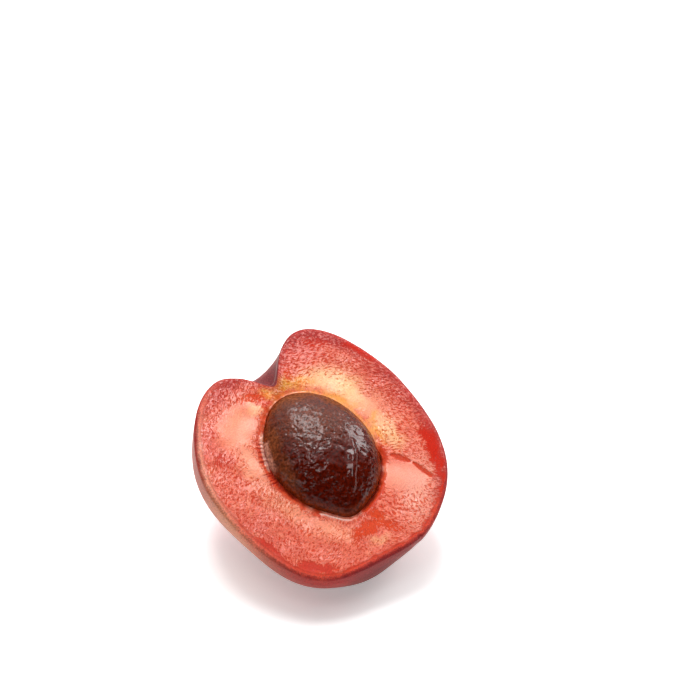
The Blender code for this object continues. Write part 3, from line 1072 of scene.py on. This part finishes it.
def cut_roughness(points, headings, stone_gap, rim_gap):
    """1 where the cut face is rough and flecked, 0 in its pools of juice, at its edge and by the stone."""
    reach = (1 - banded_share(headings)) * 1.2 * MM
    rough = (1 - strongest(shaken(points), JUICE_POOLS)) * smooth_step(rim_gap + reach, 0, 0.4 * MM)
    return rough * smooth_step(stone_gap, 0.6 * MM, 1.6 * MM)


def build_half():
    """The half fruit, flesh and skin in one."""
    rings = half_rings()
    kinds = np.concatenate([[name] * len(ring) for name, ring in rings] + [["pocket"], ["skin"]])
    bottom = pocket_points(np.zeros(1), math.pi / 2)
    back = skin_points(np.zeros(1), 1)
    points = np.vstack([ring for _, ring in rings] + [bottom, back])
    faces = loft_faces([len(ring) for _, ring in rings], len(points) - 2, len(points) - 1)
    around = np.arctan2(-points[:, 0], points[:, 1])
    out = np.linalg.norm(points[:, :2], axis=1)
    stone_gap = out - stone_reach(directions(around, 0.0))
    rim_gap = face_reach(around) - out
    edge = edge_width(around)
    on_edge = kinds == "edge"
    on_skin = kinds == "skin"
    outside = on_skin | on_edge
    on_cut = np.isin(kinds, ("face", "groove", "edge"))
    cut = {
        "points": points[on_cut],
        "headings": around[on_cut],
        "stone_gap": stone_gap[on_cut],
    }
    rough = np.zeros(len(points))
    rough[on_cut] = cut_roughness(**cut, rim_gap=rim_gap[on_cut])
    juicy = np.tile(POCKET_SHADE_RED, (len(points), 1))
    bare = juicy.copy()
    film = np.zeros(len(points))
    juicy[on_cut], bare[on_cut], film[on_cut] = flesh_tints(**cut, rim_gap=rim_gap[on_cut])
    skin = np.zeros_like(points)
    edge_gap = np.where(on_edge, -rim_gap, edge + np.maximum(0, -points[:, 2]))
    skin[outside] = skin_tints(points[outside], around[outside], edge_gap[outside])
    raised = points.copy()
    raised[on_cut, 2] += face_relief(**cut, rough=rough[on_cut])
    made = piece("half_fruit", settled(raised), faces)
    mesh = made.data
    for name, colours in (("juicy", juicy), ("bare", bare), ("skin", skin)):
        add_colours(mesh, name, colours)
    add_values(mesh, "spot", "FLOAT_VECTOR", points / MM)
    add_values(mesh, "curled", "FLOAT_VECTOR", warped(points) / MM)
    for name, values in (("left", left_share(points)), ("film", film), ("rough", rough)):
        add_values(mesh, name, "FLOAT", values)
    mesh.materials.append(flesh_material())
    mesh.materials.append(skin_material())
    start = 0.55 - 0.3 * banded_share(around) + 0.1 * noise(raised, 0.9 * MM, 64)
    downy = on_skin | (on_edge & (-rim_gap / edge > start))
    for polygon in mesh.polygons:
        polygon.material_index = int(sum(downy[v] for v in polygon.vertices) > 2)
    return made


def stone_rise(points, ways, smooth):
    """Height of the stone's lumps, wrinkles, pits, waves, facet and ridge above its even surface."""
    upper = smooth_step(ways[:, 2], 0.0, 0.3)
    spots = shaken(points)
    fine = STONE_WRINKLES * noise(points, 1.5 * MM, 81) + STONE_GRAIN * noise(points, 0.6 * MM, 82)
    fine -= PIT_DEPTH * smooth_step(noise(points, 0.7 * MM, 83), 0.25, 0.55)
    rise = STONE_LUMPS * waves(points, 3.5 * MM) + fine * (1 - 0.7 * smooth)
    wavy = strongest(spots, STONE_WAVY_PATCHES)
    rise += WAVE_HEIGHT * wavy * noise(points * np.array([0.6, 1, 1]), 0.8 * MM, 87)
    rise -= FACET_DEPTH * strongest(spots, STONE_FACETS) * upper
    return rise + ridge_rise(points) * upper


def build_stone():
    """The bare stone, whole, with its lower part in the pocket."""
    ball = bmesh.new()
    bmesh.ops.create_icosphere(ball, subdivisions=STONE_SPLITS, radius=1)
    ways = np.array([vert.co for vert in ball.verts])
    ways /= np.linalg.norm(ways, axis=1)[:, None]
    faces = [[vert.index for vert in face.verts] for face in ball.faces]
    ball.free()
    even = ways * stone_reach(ways)[:, None]
    smooth = np.minimum(1, strongest(shaken(even), STONE_SMOOTH_PATCHES))
    rise = stone_rise(even, ways, smooth)
    points = even + ways * rise[:, None] - np.array([0, 0, STONE_SINK])
    tint, wet = stone_tints(points, shaken(points))
    made = piece("bare_stone", settled(points), faces)
    add_colours(made.data, "tint", tint)
    add_values(made.data, "spot", "FLOAT_VECTOR", even / MM)
    add_values(made.data, "wet", "FLOAT", 0.85 * wet)
    add_values(made.data, "rough", "FLOAT", 1 - 0.75 * smooth)
    made.data.materials.append(stone_material())
    return made


def build_floor():
    """A wide white floor that darkens towards the front, outside the picture, and glows a little."""
    half = FLOOR_HALF
    mesh = bpy.data.meshes.new("floor")
    corners = [(-half, -half, 0), (half, -half, 0), (half, half, 0), (-half, half, 0)]
    mesh.from_pydata(corners, [], [(0, 1, 2, 3)])
    floor = bpy.data.objects.new("floor", mesh)
    bpy.context.scene.collection.objects.link(floor)
    graph = Graph("white_floor")
    place = graph.add("ShaderNodeNewGeometry", {}).outputs["Position"]
    depth = graph.add("ShaderNodeSeparateXYZ", {"Vector": place}).outputs["Y"]
    white = graph.ranged(depth, *FLOOR_FADE, *FLOOR_WHITE)
    graph.links.new(white, graph.shader.inputs["Base Color"])
    graph.links.new(graph.product(white, FLOOR_GLOW), graph.shader.inputs["Emission Strength"])
    values = {"Roughness": 0.9, "Specular IOR Level": 0.0, "Emission Color": (1, 1, 1, 1)}
    socket_values(graph.shader, values)
    mesh.materials.append(graph.material)


def soft_light(name, place, size, power):
    """A white rectangular light that shines at the fruit."""
    lamp = bpy.data.lights.new(name, "AREA")
    lamp.shape = "RECTANGLE"
    lamp.size, lamp.size_y = size
    lamp.energy = power
    made = bpy.data.objects.new(name, lamp)
    bpy.context.scene.collection.objects.link(made)
    made.location = place
    made.rotation_euler = (LIGHT_TARGET - Vector(place)).to_track_quat("-Z", "Y").to_euler()


def build_light():
    """A bright room, lightest above and behind the fruit, and four soft lights."""
    world = bpy.data.worlds.new("studio")
    bpy.context.scene.world = world
    world.use_nodes = True
    nodes, links = world.node_tree.nodes, world.node_tree.links
    background = nodes["Background"]
    background.inputs["Color"].default_value = (1, 1, 1, 1)
    way = nodes.new("ShaderNodeTexCoord")
    lean = nodes.new("ShaderNodeVectorMath")
    lean.operation = "DOT_PRODUCT"
    lean.inputs[1].default_value = ROOM_LIGHT_WAY
    spread = nodes.new("ShaderNodeMapRange")
    socket_values(spread, ROOM_LIGHT_RANGE)
    links.new(way.outputs["Generated"], lean.inputs[0])
    links.new(lean.outputs["Value"], spread.inputs["Value"])
    links.new(spread.outputs["Result"], background.inputs["Strength"])
    for name, (place, size, power) in LIGHTS.items():
        soft_light(name, place, size, power)
    bpy.context.scene.view_settings.view_transform = "Standard"


def build_camera():
    """The camera, in front of the fruit and above it."""
    lens = bpy.data.cameras.new("camera")
    lens.lens = CAMERA_LENS
    lens.sensor_width = CAMERA_SENSOR
    made = bpy.data.objects.new("camera", lens)
    bpy.context.scene.collection.objects.link(made)
    back = Vector((0, -math.cos(CAMERA_PITCH), math.sin(CAMERA_PITCH)))
    up = Vector((0, math.sin(CAMERA_PITCH), math.cos(CAMERA_PITCH)))
    aim = FACE_CENTRE + Vector((CAMERA_RIGHT, 0, 0)) + up * CAMERA_UP
    made.location = aim + back * CAMERA_DISTANCE
    made.rotation_euler = (math.pi / 2 - CAMERA_PITCH, 0, 0)
    bpy.context.scene.camera = made


build_camera()
half = build_half()
stone = build_stone()
for made, node, slot in ((half, "plum_half", "flesh"), (stone, "stone", "stone")):
    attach(made, "root")
    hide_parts(node)
build_floor()
build_light()
